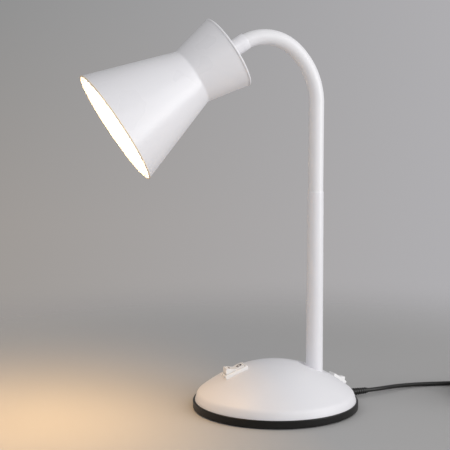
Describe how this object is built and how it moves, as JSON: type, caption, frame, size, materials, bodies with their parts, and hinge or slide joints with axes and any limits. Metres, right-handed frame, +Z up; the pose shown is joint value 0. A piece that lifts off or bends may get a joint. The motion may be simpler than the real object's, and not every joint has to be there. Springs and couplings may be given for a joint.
{
  "type": "gooseneck desk lamp",
  "caption": "Desk lamp with a domed base, rocker switches, a rigid pole, a bendable neck, an hourglass shade with a bulb, and a mains lead.",
  "frame": {"origin": "centre of the round base, on the desk", "axes": "+Z up; the head hangs over -X and the pole stands on the +X side; the lead leaves the base near +X"},
  "size_m": [0.3964, 0.161, 0.3338],
  "materials": {
    "white_paint": "satin",
    "white_plastic": "satin",
    "black_plastic": "satin",
    "switch_white": "gloss",
    "pad": "matte",
    "weight": "matte",
    "zinc": "satin",
    "hose": "satin",
    "brass": "satin",
    "ceramic": "satin",
    "holder": "satin",
    "glass": "gloss",
    "bulb_metal": "satin",
    "cord": "satin"
  },
  "bodies": {
    "base": {"base_cover": "white_plastic", "base_screws": "zinc", "base_tray": "black_plastic", "cord_coil": "cord", "cord_lead": "cord", "cord_tie": "black_plastic", "counterweight": "weight", "foot_pad": "pad", "front_switch_housing": "switch_white", "front_switch_terminals": "brass", "neck_sleeve_00": "white_plastic", "plug_body": "cord", "plug_pins": "brass", "pole_collar": "white_paint", "pole_nipple": "zinc", "pole_nut": "zinc", "pole_tube": "white_paint", "pole_washer": "zinc", "rear_switch_housing": "switch_white", "rear_switch_terminals": "brass", "strain_relief": "cord"},
    "neck_link_01": {"neck_sleeve_01": "white_plastic", "neck_hose_01": "hose"},
    "neck_link_02": {"neck_sleeve_02": "white_plastic", "neck_hose_02": "hose"},
    "neck_link_03": {"neck_sleeve_03": "white_plastic", "neck_hose_03": "hose"},
    "neck_link_04": {"neck_sleeve_04": "white_plastic", "neck_hose_04": "hose"},
    "neck_link_05": {"neck_sleeve_05": "white_plastic", "neck_hose_05": "hose"},
    "neck_link_06": {"neck_sleeve_06": "white_plastic", "neck_hose_06": "hose"},
    "neck_link_07": {"neck_sleeve_07": "white_plastic", "neck_hose_07": "hose"},
    "neck_link_08": {"neck_sleeve_08": "white_plastic", "neck_hose_08": "hose"},
    "neck_link_09": {"neck_sleeve_09": "white_plastic", "neck_hose_09": "hose"},
    "neck_link_10": {"neck_sleeve_10": "white_plastic", "neck_hose_10": "hose"},
    "neck_link_11": {"neck_sleeve_11": "white_plastic", "neck_hose_11": "hose"},
    "head": {"neck_sleeve_12": "white_plastic", "neck_ferrule": "white_paint", "shade": "white_paint", "shade_cap": "white_paint", "holder_nut": "zinc", "holder_housing": "holder", "holder_insulator": "ceramic", "holder_screw_shell": "brass", "holder_contact": "brass", "bulb_cap": "bulb_metal", "bulb_glass": "glass"},
    "front_rocker": {"front_switch_rocker": "switch_white"},
    "rear_rocker": {"rear_switch_rocker": "switch_white"}
  },
  "joints": [
    {"name": "neck_lean_01", "type": "hinge", "parent": "base", "child": "neck_link_01", "pos_m": [0.0355, 0, 0.199], "axis": [0, -1, 0], "range_deg": [-14, 14]},
    {"name": "neck_sway_02", "type": "hinge", "parent": "neck_link_01", "child": "neck_link_02", "pos_m": [0.0355, 0, 0.21513], "axis": [1, 0, 0], "range_deg": [-12, 12]},
    {"name": "neck_lean_03", "type": "hinge", "parent": "neck_link_02", "child": "neck_link_03", "pos_m": [0.0355, 0, 0.23125], "axis": [0, -1, 0], "range_deg": [-14, 14]},
    {"name": "neck_sway_04", "type": "hinge", "parent": "neck_link_03", "child": "neck_link_04", "pos_m": [0.0355, 0, 0.24738], "axis": [1, 0, 0], "range_deg": [-12, 12]},
    {"name": "neck_curl_05", "type": "hinge", "parent": "neck_link_04", "child": "neck_link_05", "pos_m": [0.0355, 0, 0.2635], "axis": [0, -1, 0], "range_deg": [-7.5, 1.5]},
    {"name": "neck_curl_06", "type": "hinge", "parent": "neck_link_05", "child": "neck_link_06", "pos_m": [0.03415, 0, 0.27639], "axis": [0, -1, 0], "range_deg": [-15, 3]},
    {"name": "neck_curl_07", "type": "hinge", "parent": "neck_link_06", "child": "neck_link_07", "pos_m": [0.03014, 0, 0.28872], "axis": [0, -1, 0], "range_deg": [-22.5, 4.5]},
    {"name": "neck_sway_08", "type": "hinge", "parent": "neck_link_07", "child": "neck_link_08", "pos_m": [0.02366, 0, 0.29994], "axis": [0.809, 0, 0.5878], "range_deg": [-12, 12]},
    {"name": "neck_curl_09", "type": "hinge", "parent": "neck_link_08", "child": "neck_link_09", "pos_m": [0.01499, 0, 0.30957], "axis": [0, -1, 0], "range_deg": [-28.86, 5.77]},
    {"name": "neck_curl_10", "type": "hinge", "parent": "neck_link_09", "child": "neck_link_10", "pos_m": [0.00228, 0, 0.31718], "axis": [0, -1, 0], "range_deg": [-27.72, 5.54]},
    {"name": "neck_curl_11", "type": "hinge", "parent": "neck_link_10", "child": "neck_link_11", "pos_m": [-0.01235, 0, 0.31943], "axis": [0, -1, 0], "range_deg": [-27.72, 5.54]},
    {"name": "neck_curl_12", "type": "hinge", "parent": "neck_link_11", "child": "head", "pos_m": [-0.02675, 0, 0.31599], "axis": [0, -1, 0], "range_deg": [-24.09, 4.82]},
    {"name": "front_rocker_tilt", "type": "hinge", "parent": "base", "child": "front_rocker", "pos_m": [-0.03694, 0, 0.03446], "axis": [0, -1, 0], "range_deg": [0, 27]},
    {"name": "rear_rocker_tilt", "type": "hinge", "parent": "base", "child": "rear_rocker", "pos_m": [0.06071, 0.00962, 0.01996], "axis": [-0.1564, 0.9877, 0], "range_deg": [0, 27]}
  ],
  "couplings": [
    {"joint": "neck_lean_03", "follows": "neck_lean_01", "ratio": 1},
    {"joint": "neck_sway_02", "follows": "neck_sway_04", "ratio": 1},
    {"joint": "neck_sway_08", "follows": "neck_sway_04", "ratio": 1},
    {"joint": "neck_curl_05", "follows": "neck_curl_09", "ratio": 0.2599},
    {"joint": "neck_curl_06", "follows": "neck_curl_09", "ratio": 0.5198},
    {"joint": "neck_curl_07", "follows": "neck_curl_09", "ratio": 0.7797},
    {"joint": "neck_curl_10", "follows": "neck_curl_09", "ratio": 0.9604},
    {"joint": "neck_curl_11", "follows": "neck_curl_09", "ratio": 0.9604},
    {"joint": "neck_curl_12", "follows": "neck_curl_09", "ratio": 0.83475}
  ]
}
